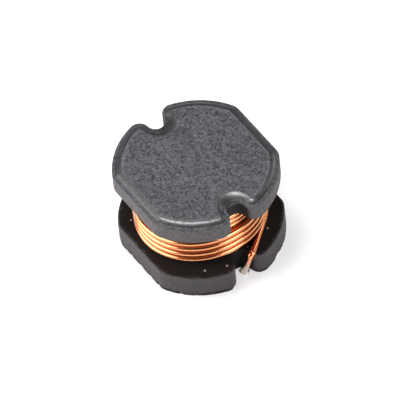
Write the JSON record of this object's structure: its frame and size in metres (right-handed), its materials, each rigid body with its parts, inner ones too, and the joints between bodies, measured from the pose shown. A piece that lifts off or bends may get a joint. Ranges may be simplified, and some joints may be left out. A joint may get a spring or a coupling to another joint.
{
  "type": "smd power inductor",
  "caption": "Surface-mount wirewound power inductor: open ferrite drum core with two flats and two notches, enamelled copper winding, soldered terminals underneath.",
  "frame": {"origin": "centre of the footprint, on the plane of the terminals' undersides, which is the board's surface", "axes": "+Z away from the board along the core's axis; +X towards the notch where the wire finishes; the flanges' flats face +Y and -Y"},
  "size_m": [0.0076, 0.007, 0.0051],
  "materials": {
    "ferrite": "matte sintered ferrite, dark grey, fine-grained",
    "copper_wire": "glossy clear polyurethane enamel over copper, red-brown",
    "tinned_terminal": "dull tin plating",
    "solder": "dull solder"
  },
  "bodies": {
    "root": {"drum_core": "ferrite", "winding": "copper_wire", "terminal_start": "tinned_terminal", "terminal_finish": "tinned_terminal", "solder_start": "solder", "solder_finish": "solder"}
  },
  "joints": []
}
